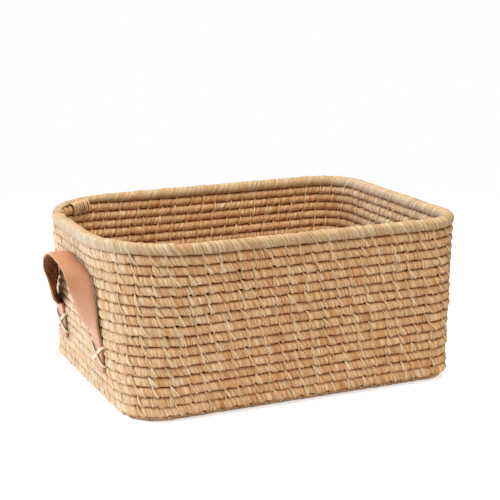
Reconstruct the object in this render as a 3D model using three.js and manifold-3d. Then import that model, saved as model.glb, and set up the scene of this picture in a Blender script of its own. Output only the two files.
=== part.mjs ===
// A rectangular raffia basket. One raffia-wrapped coil winds from the middle of the base out to its
// edge, climbs into the wall's rows and ends in a thicker rim. A leather strap on each short wall is
// the handle: its two flat ends are lashed through the wall with raffia.
// Lengths are in millimetres, angles in radians. +X runs along the basket, -Y is its front, +Z is up.
import * as THREE from 'three';
import { mergeVertices } from 'three/addons/utils/BufferGeometryUtils.js';
import Module from 'manifold-3d';

// Outside of the basket, at the rim's top and on the ground
const basketHeight = 171.7;
const rimHalfLength = 192;
const rimHalfWidth = 141;
const rimLeftCorner = 100;
const rimRightCorner = 52;
const groundHalfLength = 177;
const groundHalfWidth = 138;
const groundLeftCorner = 40;
const groundRightCorner = 24;

// Coil: rows of the wall, loops of the base and the thicker rim
const wallRows = 16;
const baseLoops = 13;
const coreLoops = 1.5;
const rowThickness = 10.4;
const rimThickness = 12.4;
const rimHeight = 11.5;
const rowGap = 0.5;
const heelRise = 8;
const heelStepOut = 6.5;
const bevelShare = 0.25;
const groundCutShare = 0.2;
const rimTipShare = 0.45;

// Steps of one loop: each side and the corner after it, then the stretch where the coil climbs
const sideSteps = 2;
const cornerSteps = 4;
const climbSteps = 5;
const jointStretch = 10.5;
const leastRingDistance = 1;

// Handle strap
const strapWidth = 26;
const strapThickness = 2.8;
const strapTopWidth = 21;
const lashingPastCorner = 4.4;
const strapRise = 76.2;
const strapTopLean = 15.4;
const strapTopClearance = 3.5;
const strapTopTwist = THREE.MathUtils.degToRad(96.5);
const strapSteps = 36;
const hingeAboveLashing = 6;
const tabLength = 32.5;

// Raffia lashing of each flat end
const lashingWidth = 4;
const lashingThickness = 1.2;
const rowsUnderLashing = 4;
const rowsInLashing = 2;
const fitGap = 0.3;
const holeClearance = 0.4;

// Half of the strap from its flat end to the top: span, rise, stand-off, twist and lean to one side
const strapShares = [
  { span: 1.0, rise: 0.0, standOff: 0.0, twist: 0.0, lean: 0.0 },
  { span: 1.0, rise: 0.12, standOff: 0.15, twist: 0.04, lean: 0.0 },
  { span: 0.965, rise: 0.228, standOff: 0.39, twist: 0.19, lean: 0.15 },
  { span: 0.895, rise: 0.401, standOff: 0.568, twist: 0.35, lean: 0.48 },
  { span: 0.85, rise: 0.628, standOff: 0.74, twist: 0.504, lean: 0.63 },
  { span: 0.71, rise: 0.796, standOff: 0.825, twist: 0.737, lean: 0.8 },
  { span: 0.466, rise: 0.908, standOff: 0.88, twist: 0.96, lean: 0.91 },
  { span: 0.0, rise: 1.0, standOff: 1.0, twist: 1.0, lean: 1.0 },
];

const lerp = THREE.MathUtils.lerp;
const quarterSteps = sideSteps + cornerSteps;
const loopSteps = 4 * quarterSteps;
const groundShare = (1 - groundCutShare) / 2;
const rowsHeight = basketHeight - heelRise - rimHeight + rowGap * (0.5 + groundShare);
const rowPitch = rowsHeight / (wallRows - 0.5 + groundShare);
const rowHalfHeight = (rowPitch - rowGap) / 2;
const rowHalfThickness = rowThickness / 2;
const rimHalfThickness = rimThickness / 2;
const groundZ = rowHalfHeight * (1 - groundCutShare);
const firstRowZ = groundZ + heelRise;
const lastRowZ = firstRowZ + (wallRows - 1) * rowPitch;
const rimZ = lastRowZ + (rowPitch + rimHeight) / 2;

// Outline of the wall at a height, along the middle of the coil
function wallOutline(z) {
  const share = z / basketHeight;
  return {
    halfLength: lerp(groundHalfLength, rimHalfLength, share) - rimHalfThickness,
    halfWidth: lerp(groundHalfWidth, rimHalfWidth, share) - rimHalfThickness,
    leftCorner: lerp(groundLeftCorner, rimLeftCorner, share) - rimHalfThickness,
    rightCorner: lerp(groundRightCorner, rimRightCorner, share) - rimHalfThickness,
  };
}

// Outermost loop of the base, set in from the first wall row
const firstRow = wallOutline(firstRowZ);
const heel = {
  halfLength: firstRow.halfLength - heelStepOut,
  halfWidth: firstRow.halfWidth - heelStepOut,
  leftCorner: firstRow.leftCorner - heelStepOut,
  rightCorner: firstRow.rightCorner - heelStepOut,
};
const basePitch = heel.halfWidth / (baseLoops - 0.5);
const coreHalfWidth = coreLoops * basePitch;

// Outline inside the base: round ends near the middle, which square off towards the heel
function baseOutline(halfWidth) {
  const inCore = Math.min(halfWidth, coreHalfWidth);
  const pastHeel = Math.max(halfWidth - heel.halfWidth, 0);
  const share = (halfWidth - inCore - pastHeel) / (heel.halfWidth - coreHalfWidth);
  const corner = (end) => lerp(inCore, end, share) + pastHeel;
  return {
    halfLength: halfWidth + heel.halfLength - heel.halfWidth,
    halfWidth,
    leftCorner: corner(heel.leftCorner),
    rightCorner: corner(heel.rightCorner),
  };
}

// Point and outward direction on an outline, stepping round from the back left corner's end
function outlinePoint(outline, step) {
  const quarter = Math.floor(step / quarterSteps);
  const along = step - quarter * quarterSteps;
  const cornerOf = (index) => {
    const signX = index === 0 || index === 3 ? -1 : 1;
    const signY = index < 2 ? -1 : 1;
    const radius = signX < 0 ? outline.leftCorner : outline.rightCorner;
    return {
      x: signX * (outline.halfLength - radius),
      y: signY * (outline.halfWidth - radius),
      radius,
    };
  };
  const before = cornerOf((quarter + 3) % 4);
  const after = cornerOf(quarter % 4);
  const sideShare = Math.min(along / sideSteps, 1);
  const cornerShare = Math.max(along - sideSteps, 0) / cornerSteps;
  const angle = Math.PI + (Math.PI / 2) * (quarter + cornerShare);
  const radius = lerp(before.radius, after.radius, sideShare);
  const outward = new THREE.Vector3(Math.cos(angle), Math.sin(angle), 0);
  const point = new THREE.Vector3(
    lerp(before.x, after.x, sideShare) + radius * outward.x,
    lerp(before.y, after.y, sideShare) + radius * outward.y,
    0,
  );
  return { point, outward };
}

// Share of the climb to the next loop that is done at a step
function climbShare(step) {
  const share = Math.max(0, (step - loopSteps + climbSteps) / climbSteps);
  return THREE.MathUtils.smoothstep(share, 0, 1);
}

// Six-sided ring between an inner and an outer point, flat above and below
function coilRing(inner, outer, lowZ, highZ, lowFlatShare) {
  const midZ = lowZ + (highZ - lowZ) * (1 - lowFlatShare) / (2 - lowFlatShare);
  const at = (share, z) => new THREE.Vector3().lerpVectors(inner, outer, share).setZ(z);
  const lowInset = bevelShare * (1 - lowFlatShare);
  return [
    at(1, midZ),
    at(1 - bevelShare, highZ),
    at(bevelShare, highZ),
    at(0, midZ),
    at(lowInset, lowZ),
    at(1 - lowInset, lowZ),
  ];
}

function baseRing(step, loop) {
  const halfWidth = (loop + 0.5) * basePitch;
  const inside = outlinePoint(baseOutline(halfWidth - basePitch / 2), step);
  const outside = outlinePoint(baseOutline(halfWidth + basePitch / 2), step);
  const inner = inside.point.addScaledVector(inside.outward, rowGap / 2);
  const outer = outside.point.addScaledVector(outside.outward, -rowGap / 2);
  return coilRing(inner, outer, 0, groundZ + rowHalfHeight, groundCutShare);
}

function rowHeight(row) {
  const past = Math.max(0, row - wallRows + 1);
  return firstRowZ + (row - past) * rowPitch + past * (rimZ - lastRowZ);
}

function wallRing(step, row) {
  const z = rowHeight(row);
  const { point, outward } = outlinePoint(wallOutline(z), step);
  const inner = point.clone().addScaledVector(outward, -rowHalfThickness);
  const outer = point.clone().addScaledVector(outward, rowHalfThickness);
  return coilRing(inner, outer, z - rowHalfHeight, z + rowHalfHeight, 0);
}

// The rim thins to a tip where it lies on the climbing end of the last wall row
function rimRing(step) {
  const climb = climbShare(step);
  const low = rowHeight(wallRows - 1 + climb) + rowHalfHeight + rowGap;
  const { point, outward } = outlinePoint(wallOutline(rimZ), step);
  const halfThickness = rimHalfThickness * (1 - rimTipShare * climb);
  const inner = point.clone().addScaledVector(outward, -halfThickness);
  const outer = point.clone().addScaledVector(outward, halfThickness);
  return coilRing(inner, outer, low, basketHeight, 0);
}

function ringCentre(ring) {
  const sum = ring.reduce((total, corner) => total.add(corner), new THREE.Vector3());
  return sum.divideScalar(ring.length);
}

// Steps down the first side to where two stretches of the coil meet, before and after the gap
function meetingStep(outline, distance) {
  const side = 2 * (outline.halfWidth - outline.leftCorner);
  return (distance / side) * sideSteps;
}

// The last loop moves out first and rises after, clear of the wall row that climbs above it
function baseCoilRings() {
  const rings = [];
  for (let count = sideSteps; count <= baseLoops * loopSteps; count += 1) {
    const loop = Math.min(Math.floor(count / loopSteps), baseLoops - 1);
    const step = count - loop * loopSteps;
    const climb = climbShare(step);
    const ring = baseRing(step, loop + climb);
    if (loop === baseLoops - 1) {
      const target = wallRing(step, 0);
      ring.forEach((corner, index) => corner.lerp(target[index], climb ** 2));
    }
    const centre = ringCentre(ring);
    const previous = rings.length > 0 ? ringCentre(rings[rings.length - 1]) : null;
    if (previous === null || previous.distanceTo(centre) > leastRingDistance) {
      rings.push(ring);
    }
  }
  rings.push(wallRing(meetingStep(firstRow, jointStretch), 0));
  return rings;
}

function wallCoilRings() {
  const rings = [wallRing(meetingStep(firstRow, jointStretch + rowGap), 0)];
  for (let count = 1; count <= wallRows * loopSteps; count += 1) {
    const row = Math.min(Math.floor(count / loopSteps), wallRows - 1);
    const step = count - row * loopSteps;
    rings.push(wallRing(step, row + climbShare(step)));
  }
  rings.push(wallRing(meetingStep(wallOutline(rimZ), jointStretch), wallRows));
  return rings;
}

function rimCoilRings() {
  const rings = [rimRing(meetingStep(wallOutline(rimZ), jointStretch + rowGap))];
  const tipStep = loopSteps - climbSteps / 2;
  for (let step = 1; step < tipStep; step += 1) {
    rings.push(rimRing(step));
  }
  rings.push(rimRing(tipStep));
  return rings;
}

// Closed tube through rings of corners, with flat ends
function tubeGeometry(rings) {
  const sides = rings[0].length;
  const positions = rings.flat().flatMap((corner) => corner.toArray());
  const faces = [];
  for (let ring = 0; ring + 1 < rings.length; ring += 1) {
    for (let side = 0; side < sides; side += 1) {
      const next = (side + 1) % sides;
      const here = ring * sides;
      const there = here + sides;
      faces.push(here + side, there + side, there + next, here + side, there + next, here + next);
    }
  }
  const last = (rings.length - 1) * sides;
  for (let side = 1; side + 1 < sides; side += 1) {
    faces.push(0, side, side + 1, last, last + side + 1, last + side);
  }
  const geometry = new THREE.BufferGeometry();
  geometry.setAttribute('position', new THREE.Float32BufferAttribute(positions, 3));
  geometry.setIndex(faces);
  geometry.computeVertexNormals();
  return geometry;
}

// Least distance between a tube and its own neighbouring loops, on points of the surface
function leastOwnGap(rings) {
  const parts = 3;
  const samples = [];
  for (let ring = 0; ring + 1 < rings.length; ring += 1) {
    for (let part = 0; part < parts; part += 1) {
      const points = rings[ring].map((corner, side) =>
        corner.clone().lerp(rings[ring + 1][side], part / parts));
      const between = points.map((corner, side) =>
        corner.clone().lerp(points[(side + 1) % points.length], 0.5));
      samples.push(points.concat(between));
    }
  }
  const halfLoop = (loopSteps * parts) / 2;
  let least = Infinity;
  samples.forEach((here, index) => {
    for (const there of samples.slice(index + halfLoop, index + 3 * halfLoop)) {
      for (const point of here) {
        for (const other of there) {
          least = Math.min(least, point.distanceToSquared(other));
        }
      }
    }
  });
  return Math.sqrt(least);
}

// Booleans
const wasm = await Module();
wasm.setup();

function toSolid(geometry) {
  const bare = geometry.clone();
  bare.deleteAttribute('normal');
  bare.deleteAttribute('uv');
  const merged = mergeVertices(bare);
  return new wasm.Manifold(new wasm.Mesh({
    numProp: 3,
    vertProperties: new Float32Array(merged.attributes.position.array),
    triVerts: new Uint32Array(merged.index.array),
  }));
}

function fromSolid(solid) {
  const mesh = solid.getMesh();
  const geometry = new THREE.BufferGeometry();
  geometry.setAttribute('position', new THREE.Float32BufferAttribute(mesh.vertProperties, 3));
  geometry.setIndex(Array.from(mesh.triVerts));
  geometry.computeVertexNormals();
  return geometry;
}

function boxBetween(low, high) {
  const size = new THREE.Vector3().subVectors(high, low);
  const centre = new THREE.Vector3().addVectors(low, high).divideScalar(2);
  return new THREE.BoxGeometry(size.x, size.y, size.z).translate(centre.x, centre.y, centre.z);
}

// Handle frame: its origin is on the outside of the left wall at the hinge, its +Z runs up the slope
// of the wall and its -X points away from the basket
const wallLean = Math.atan((rimHalfLength - groundHalfLength) / basketHeight);
const lowGrooveZ = rowHeight(rowsUnderLashing) - rowPitch / 2;
const highGrooveZ = lowGrooveZ + rowsInLashing * rowPitch;
const hingeZ = highGrooveZ + hingeAboveLashing;
const hingeWallX = wallOutline(hingeZ).halfLength + rowHalfThickness;
const alongSlope = (z) => (z - hingeZ) / Math.cos(wallLean);

// The lashings' outer legs go through the wall just past where its left corners begin
const legY = strapWidth / 2 + holeClearance + lashingWidth / 2;
const lashedOutline = wallOutline(highGrooveZ);
const straightHalf = lashedOutline.halfWidth - lashedOutline.leftCorner;
const strapHalfSpan = straightHalf + lashingPastCorner - legY - lashingWidth / 2;
const cornerDip = lashingPastCorner * Math.tan(Math.PI / (4 * cornerSteps));

const strapHalfThickness = strapThickness / 2;
const strapStandOff = fitGap + strapHalfThickness;
const topStandOff = strapTopClearance + (strapTopWidth / 2) * Math.sin(strapTopTwist);
const hingeX = -strapStandOff;
const hingeRoundAngles = [75, 50, 25].map(THREE.MathUtils.degToRad);

// Centre line, twist and width of the strap, from the front flat end to the back one
function strapStations() {
  const back = strapShares.slice(0, -1).reverse();
  const all = strapShares.map((share) => ({ ...share, side: -1 }))
    .concat(back.map((share) => ({ ...share, side: 1 })));
  const centres = all.map((share) => new THREE.Vector3(
    hingeX - share.standOff * (topStandOff - strapStandOff),
    share.side * share.span * strapHalfSpan - share.lean * strapTopLean,
    share.rise * strapRise,
  ));
  const twists = all.map((share) => new THREE.Vector3(share.twist, 0, 0));
  const line = new THREE.CatmullRomCurve3(centres);
  const twistLine = new THREE.CatmullRomCurve3(twists);
  const stations = [];
  for (let step = 0; step <= strapSteps; step += 1) {
    const share = step / strapSteps;
    const end = step === 0 || step === strapSteps;
    const tangent = line.getTangent(share);
    stations.push({
      centre: line.getPoint(share),
      tangent: end ? new THREE.Vector3(0, 0, Math.sign(tangent.z)) : tangent,
      twist: THREE.MathUtils.clamp(twistLine.getPoint(share).x, 0, 1),
    });
  }
  return stations;
}

function strapRing(station, halfThickness) {
  const away = new THREE.Vector3(-1, 0, 0).addScaledVector(station.tangent, station.tangent.x);
  away.normalize();
  const archOut = new THREE.Vector3().crossVectors(station.tangent, away);
  const angle = station.twist * strapTopTwist;
  const grain = away.clone().multiplyScalar(Math.cos(angle));
  grain.addScaledVector(archOut, Math.sin(angle));
  const across = away.clone().multiplyScalar(Math.sin(angle));
  across.addScaledVector(archOut, -Math.cos(angle));
  const halfWidth = lerp(strapWidth, strapTopWidth, station.twist) / 2;
  return [[1, 1], [1, -1], [-1, -1], [-1, 1]].map(([wide, thick]) =>
    station.centre.clone()
      .addScaledVector(across, wide * halfWidth)
      .addScaledVector(grain, thick * halfThickness));
}

// The strap's lower ends are round about the hinge line, so that they turn without touching
function strapGeometry() {
  const stations = strapStations();
  const roundEnd = (station) => hingeRoundAngles.map((angle) => strapRing(
    {
      ...station,
      centre: station.centre.clone().setZ(-strapHalfThickness * Math.sin(angle)),
    },
    strapHalfThickness * Math.cos(angle),
  ));
  const first = roundEnd(stations[0]);
  const last = roundEnd(stations[stations.length - 1]).reverse();
  const middle = stations.map((station) => strapRing(station, strapHalfThickness));
  return tubeGeometry([...first, ...middle, ...last]);
}

// Flat end of the strap under the hinge
const tabTop = -(strapHalfThickness + fitGap);
function tabGeometry() {
  return new THREE.BoxGeometry(strapThickness, strapWidth, tabLength)
    .translate(hingeX, 0, tabTop - tabLength / 2);
}

// Lashing: a raffia cross over the flat end, four legs through the wall and two bars inside it
const lowLegZ = alongSlope(lowGrooveZ);
const highLegZ = alongSlope(highGrooveZ);
const crossX = -(strapStandOff + strapHalfThickness + fitGap + lashingThickness / 2);
const insideX = rowThickness + cornerDip + fitGap + lashingThickness / 2;

function lashingLegs(clearance, startX, endX) {
  const legs = [];
  for (const y of [-legY, legY]) {
    for (const z of [lowLegZ, highLegZ]) {
      const half = new THREE.Vector3(0, lashingWidth / 2, lashingThickness / 2).addScalar(clearance);
      const low = new THREE.Vector3(startX, y - half.y, z - half.z);
      const high = new THREE.Vector3(endX, y + half.y, z + half.z);
      legs.push(boxBetween(low, high));
    }
  }
  return legs;
}

function lashingGeometry() {
  const halfThickness = lashingThickness / 2;
  const rise = highLegZ - lowLegZ;
  const crossLength = Math.hypot(2 * legY, rise);
  const pieces = lashingLegs(0, crossX - halfThickness, insideX + halfThickness);
  for (const turn of [-1, 1]) {
    const bar = new THREE.BoxGeometry(lashingThickness, crossLength, lashingWidth)
      .rotateX(turn * Math.atan2(rise, 2 * legY))
      .translate(crossX, 0, (lowLegZ + highLegZ) / 2);
    pieces.push(bar);
  }
  for (const y of [-legY, legY]) {
    const low = new THREE.Vector3(insideX - halfThickness, y - lashingWidth / 2, lowLegZ);
    const high = new THREE.Vector3(insideX + halfThickness, y + lashingWidth / 2, highLegZ);
    pieces.push(boxBetween(low, high));
  }
  const solids = pieces.map(toSolid);
  return fromSolid(solids.reduce((whole, piece) => whole.add(piece)));
}

// Holes through the wall for the lashings, in the basket's frame
function cutLashingHoles(wall) {
  let solid = toSolid(wall);
  for (const turn of [0, Math.PI]) {
    for (const side of [-1, 1]) {
      const holes = lashingLegs(holeClearance, crossX, insideX + lashingWidth);
      for (const hole of holes) {
        hole.translate(0, side * strapHalfSpan, 0).rotateY(-wallLean)
          .translate(-hingeWallX, 0, hingeZ).rotateZ(turn);
        solid = solid.subtract(toSolid(hole));
      }
    }
  }
  return fromSolid(solid);
}

// Assembly
const raffia = new THREE.MeshStandardMaterial({ color: 0xcfab7f, roughness: 0.85, metalness: 0 });
const rimRaffia = raffia.clone();
const lashingRaffia = new THREE.MeshStandardMaterial({ color: 0xdcc39a, roughness: 0.8, metalness: 0 });
const leather = new THREE.MeshStandardMaterial({ color: 0xdba383, roughness: 0.6, metalness: 0 });

function namedMesh(name, geometry, material) {
  const mesh = new THREE.Mesh(geometry, material.clone());
  mesh.name = name;
  return mesh;
}

function handle(side, turn) {
  const frame = new THREE.Group();
  frame.position.set(-hingeWallX, 0, hingeZ);
  frame.rotation.y = -wallLean;
  frame.add(namedMesh(`strap_${side}`, strapGeometry(), leather));
  for (const place of [-1, 1]) {
    const facesFront = turn === 0 ? place < 0 : place > 0;
    const end = facesFront ? 'front' : 'back';
    const tab = namedMesh(`strap_end_${side}_${end}`, tabGeometry(), leather);
    const lashing = namedMesh(`lashing_${side}_${end}`, lashingGeometry(), lashingRaffia);
    tab.position.y = place * strapHalfSpan;
    lashing.position.y = place * strapHalfSpan;
    frame.add(tab, lashing);
  }
  const turned = new THREE.Group();
  turned.rotation.z = turn;
  turned.add(frame);
  return turned;
}

const baseRings = baseCoilRings();
const wallRings = wallCoilRings();
console.log(`least gap of the base coil to itself: ${leastOwnGap(baseRings).toFixed(2)} mm`);
console.log(`least gap of the wall coil to itself: ${leastOwnGap(wallRings).toFixed(2)} mm`);

const basket = new THREE.Group();
basket.add(namedMesh('base_coil', tubeGeometry(baseRings), raffia));
basket.add(namedMesh('wall_coil', cutLashingHoles(tubeGeometry(wallRings)), raffia));
basket.add(namedMesh('rim_coil', tubeGeometry(rimCoilRings()), rimRaffia));
basket.add(handle('left', 0), handle('right', Math.PI));

export default basket;
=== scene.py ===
import math

import bpy
import numpy as np
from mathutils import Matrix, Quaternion, Vector


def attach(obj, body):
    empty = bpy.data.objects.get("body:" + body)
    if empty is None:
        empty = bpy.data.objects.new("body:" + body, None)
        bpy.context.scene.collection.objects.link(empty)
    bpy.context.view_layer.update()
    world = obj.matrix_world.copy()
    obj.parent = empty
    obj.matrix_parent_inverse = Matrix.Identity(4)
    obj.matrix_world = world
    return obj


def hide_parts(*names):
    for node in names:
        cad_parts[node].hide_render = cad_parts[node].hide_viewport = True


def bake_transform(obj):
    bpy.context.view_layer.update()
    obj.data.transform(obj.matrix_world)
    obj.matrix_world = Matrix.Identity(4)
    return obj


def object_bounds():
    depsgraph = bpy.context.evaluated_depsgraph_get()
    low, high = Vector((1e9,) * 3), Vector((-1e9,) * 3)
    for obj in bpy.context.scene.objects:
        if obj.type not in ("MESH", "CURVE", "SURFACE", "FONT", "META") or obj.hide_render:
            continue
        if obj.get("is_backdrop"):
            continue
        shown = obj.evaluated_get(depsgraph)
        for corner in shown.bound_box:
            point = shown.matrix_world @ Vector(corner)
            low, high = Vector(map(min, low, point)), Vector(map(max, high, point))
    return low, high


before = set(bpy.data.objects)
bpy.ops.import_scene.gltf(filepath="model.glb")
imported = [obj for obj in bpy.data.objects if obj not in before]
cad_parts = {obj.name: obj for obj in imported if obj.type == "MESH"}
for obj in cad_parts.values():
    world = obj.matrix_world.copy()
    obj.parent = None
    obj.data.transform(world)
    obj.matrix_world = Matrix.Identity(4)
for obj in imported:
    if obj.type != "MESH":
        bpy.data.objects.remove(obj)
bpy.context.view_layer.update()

# The coil is worked out in millimetres, with the same sizes as the CAD model
MM = 0.001
BASKET_HEIGHT = 171.7
RIM_HALF_LENGTH, RIM_HALF_WIDTH = 192.0, 141.0
RIM_LEFT_CORNER, RIM_RIGHT_CORNER = 100.0, 52.0
GROUND_HALF_LENGTH, GROUND_HALF_WIDTH = 177.0, 138.0
GROUND_LEFT_CORNER, GROUND_RIGHT_CORNER = 40.0, 24.0
WALL_ROWS, BASE_LOOPS, CORE_LOOPS = 16, 13, 1.5
ROW_THICKNESS, RIM_THICKNESS, RIM_HEIGHT, ROW_GAP = 10.4, 12.4, 11.5, 0.5
HEEL_RISE, HEEL_STEP_OUT, GROUND_CUT_SHARE = 8.0, 6.5, 0.2
SIDE_STEPS, CORNER_STEPS, CLIMB_STEPS = 2, 4, 5
QUARTER_STEPS = SIDE_STEPS + CORNER_STEPS
LOOP_STEPS = 4 * QUARTER_STEPS
GROUND_SHARE = (1 - GROUND_CUT_SHARE) / 2
ROWS_HEIGHT = BASKET_HEIGHT - HEEL_RISE - RIM_HEIGHT + ROW_GAP * (0.5 + GROUND_SHARE)
ROW_PITCH = ROWS_HEIGHT / (WALL_ROWS - 0.5 + GROUND_SHARE)
GROUND_Z = (ROW_PITCH - ROW_GAP) * GROUND_SHARE
FIRST_ROW_Z = GROUND_Z + HEEL_RISE
LAST_ROW_Z = FIRST_ROW_Z + (WALL_ROWS - 1) * ROW_PITCH
RIM_Z = LAST_ROW_Z + (ROW_PITCH + RIM_HEIGHT) / 2
BASE_END, RIM_START = BASE_LOOPS * LOOP_STEPS, (BASE_LOOPS + WALL_ROWS) * LOOP_STEPS

# Raffia work
SEED, TAIL_SEED = 4057, 3
SAMPLES_A_STEP = 40
BASE_SIDES, WALL_SIDES, RIM_SIDES = 14, 16, 20
STRIP_WIDTH, RIM_STRIP_WIDTH = 3.3, 4.0
STITCHES_A_LOOP, FIRST_STITCH, STITCH_STRAY = 70, 6.0, 1.9
STITCH_SHIFT, STITCH_LEAN, STITCH_TIP_ABOVE = 5.0, 0.52, 2.0
# What hangs between the first two heights is pressed into the layer from the third to the second
SQUEEZE_LOW, SQUEEZE_HIGH, GROUND_CLEARANCE = -3.2, 1.5, 0.02
# Random curves, and the lengths below which two points are one
KNOT_SPREAD = 0.6
TINY_LENGTH, TINY_TURN, LEAST_STEP = 1e-9, 1e-6, 1e-4


def lerp(low, high, share):
    return low + (high - low) * share


def smoothstep(share):
    share = np.clip(share, 0.0, 1.0)
    return share * share * (3.0 - 2.0 * share)


def inset(share, margin):
    """A share of the whole, moved into what two margins leave of it."""
    return lerp(margin, 1 - margin, share)


def unit(vectors):
    return vectors / np.maximum(np.linalg.norm(vectors, axis=-1, keepdims=True), TINY_LENGTH)


def heading(angle):
    return np.stack([np.cos(angle), np.sin(angle), np.zeros_like(angle)], -1)


def lengths(points):
    """Length along a line of points, from the first of them to each."""
    return np.r_[0.0, np.cumsum(np.linalg.norm(np.diff(points, axis=0), axis=1))]


def wander(rng, places, spacing):
    """A smooth random curve of about -1 to 1, with one free value for each spacing."""
    knots = rng.normal(0.0, KNOT_SPREAD, int(places.max() / spacing) + 3)
    at = places / spacing
    index = np.floor(at).astype(int)
    return lerp(knots[index], knots[index + 1], smoothstep(at - index))


# Outline of the basket: half length, half width, left and right corner radius
def wall_outline(height):
    share = height / BASKET_HEIGHT
    ends = (
        (GROUND_HALF_LENGTH, RIM_HALF_LENGTH),
        (GROUND_HALF_WIDTH, RIM_HALF_WIDTH),
        (GROUND_LEFT_CORNER, RIM_LEFT_CORNER),
        (GROUND_RIGHT_CORNER, RIM_RIGHT_CORNER),
    )
    return np.array([lerp(low, high, share) - RIM_THICKNESS / 2 for low, high in ends])


HEEL = wall_outline(FIRST_ROW_Z) - HEEL_STEP_OUT
BASE_PITCH = HEEL[1] / (BASE_LOOPS - 0.5)


def base_outline(half_width):
    in_core = np.minimum(half_width, CORE_LOOPS * BASE_PITCH)
    past_heel = np.maximum(half_width - HEEL[1], 0.0)
    share = (half_width - in_core - past_heel) / (HEEL[1] - CORE_LOOPS * BASE_PITCH)
    left, right = (lerp(in_core, HEEL[side], share) + past_heel for side in (2, 3))
    return np.array([half_width + HEEL[0] - HEEL[1], half_width, left, right])


def outline_point(outline, step):
    """Point and outward direction at a step round an outline, as in the CAD source."""
    half_length, half_width, left, right = outline
    quarter = np.floor(step / QUARTER_STEPS).astype(int)
    along = step - quarter * QUARTER_STEPS
    sign_x, sign_y = np.array([-1, 1, 1, -1]), np.array([-1, -1, 1, 1])

    def corner(index):
        radius = np.where(sign_x[index % 4] < 0, left, right)
        x = sign_x[index % 4] * (half_length - radius)
        return x, sign_y[index % 4] * (half_width - radius), radius

    before, after = corner(quarter + 3), corner(quarter)
    side_share = np.minimum(along / SIDE_STEPS, 1.0)
    corner_share = np.maximum(along - SIDE_STEPS, 0.0) / CORNER_STEPS
    angle = math.pi + math.pi / 2 * (quarter + corner_share)
    outward = heading(angle)
    x, y, radius = (lerp(a, b, side_share) for a, b in zip(before, after))
    return np.stack([x, y, np.zeros_like(x)], -1) + outward * radius[:, None], outward


def climb_share(step):
    return smoothstep((step - LOOP_STEPS + CLIMB_STEPS) / CLIMB_STEPS)


def row_height(row):
    past = np.maximum(0.0, row - WALL_ROWS + 1)
    return FIRST_ROW_Z + (row - past) * ROW_PITCH + past * (RIM_Z - LAST_ROW_Z)


# Middle of the coil: a turn is a count of steps from the start of the base's first loop
def base_centre(turn):
    loop = np.minimum(np.floor(turn / LOOP_STEPS), BASE_LOOPS - 1)
    step = turn - loop * LOOP_STEPS
    climb = climb_share(step)
    half_width = (loop + climb + 0.5) * BASE_PITCH
    centre, _ = outline_point(base_outline(half_width), step)
    centre[:, 2] = GROUND_Z
    share = np.where(loop == BASE_LOOPS - 1, climb**2, 0.0)[:, None]
    return lerp(centre, wall_centre(step, np.zeros_like(step)), share)


def wall_centre(step, level):
    height = row_height(level)
    centre, _ = outline_point(wall_outline(height), step)
    centre[:, 2] = height
    return centre


def coil_centre(turn):
    wall_turn = np.maximum(turn - BASE_END, 0.0)
    row = np.floor(wall_turn / LOOP_STEPS)
    step = wall_turn - row * LOOP_STEPS
    level = np.where(row >= WALL_ROWS, WALL_ROWS, row + climb_share(step))
    base = base_centre(np.minimum(turn, BASE_END - TINY_TURN))
    return np.where((turn < BASE_END)[:, None], base, wall_centre(step, level))


# How far the wall's loops stray and the thickness varies, and how much fuller the coil is over how
# many loops at the heel and at its start
WALL_STRAY, WALL_SPACING = 0.5, 45.0
UNEVENNESS, UNEVEN_SPACING = 0.045, 28.0
HEEL_FULLNESS, HEEL_LOOPS, START_FULLNESS, START_LOOPS = 0.4, 0.8, 0.45, 0.7


def coil_path(rng):
    """Frames along the coil: place, along, across to the next loop, outer normal, half sizes."""
    last_turn = RIM_START + LOOP_STEPS
    turn = np.linspace(SIDE_STEPS, last_turn, (last_turn - SIDE_STEPS) * SAMPLES_A_STEP + 1)
    centre = coil_centre(turn)
    past_rows = (turn >= RIM_START)[:, None]
    after = np.where(past_rows, centre + (centre - coil_centre(turn - LOOP_STEPS)),
                     coil_centre(turn + LOOP_STEPS))
    keep = np.r_[True, np.linalg.norm(np.diff(centre, axis=0), axis=1) > LEAST_STEP]
    turn, centre, after = turn[keep], centre[keep], after[keep]
    place = lengths(centre)
    along = unit(np.gradient(centre, place, axis=0))
    across = after - centre
    across -= along * (across * along).sum(1, keepdims=True)
    pitch = np.linalg.norm(across, axis=1)
    across = unit(across)
    normal = np.cross(along, across)
    level = turn / LOOP_STEPS - BASE_LOOPS
    wall_share = smoothstep(level + 1.0)
    rim_share = climb_share((level - WALL_ROWS + 1) * LOOP_STEPS)
    half_across = lerp(pitch / 2, ROW_PITCH / 2, wall_share)
    half_across = lerp(half_across, (RIM_HEIGHT - ROW_GAP / 2) / 2, rim_share)
    half_normal = lerp((ROW_PITCH - ROW_GAP) / 2, ROW_THICKNESS / 2, wall_share)
    half_normal = lerp(half_normal, RIM_THICKNESS / 2, rim_share)
    stray = WALL_STRAY * wander(rng, place, WALL_SPACING) * wall_share
    centre = centre + normal * stray[:, None]
    half_normal = half_normal * (1 + UNEVENNESS * wander(rng, place, UNEVEN_SPACING))
    at_heel = np.exp(-((level / HEEL_LOOPS) ** 2))
    at_start = np.exp(-(((level + BASE_LOOPS) / START_LOOPS) ** 2))
    half_across = half_across + HEEL_FULLNESS * at_heel + START_FULLNESS * at_start
    return {
        "turn": turn, "place": place, "centre": centre, "along": along, "across": across,
        "normal": normal, "half_across": half_across,
        "half_normal": half_normal + HEEL_FULLNESS * at_heel, "open_top": rim_share,
    }


def at_place(path, name, place):
    values = path[name]
    if values.ndim == 1:
        return np.interp(place, path["place"], values)
    return np.stack([np.interp(place, path["place"], values[:, k]) for k in range(3)], -1)


def frames(path, place):
    """Centre, along, across and normal at places along the path."""
    return [at_place(path, name, place) for name in ("centre", "along", "across", "normal")]


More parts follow.
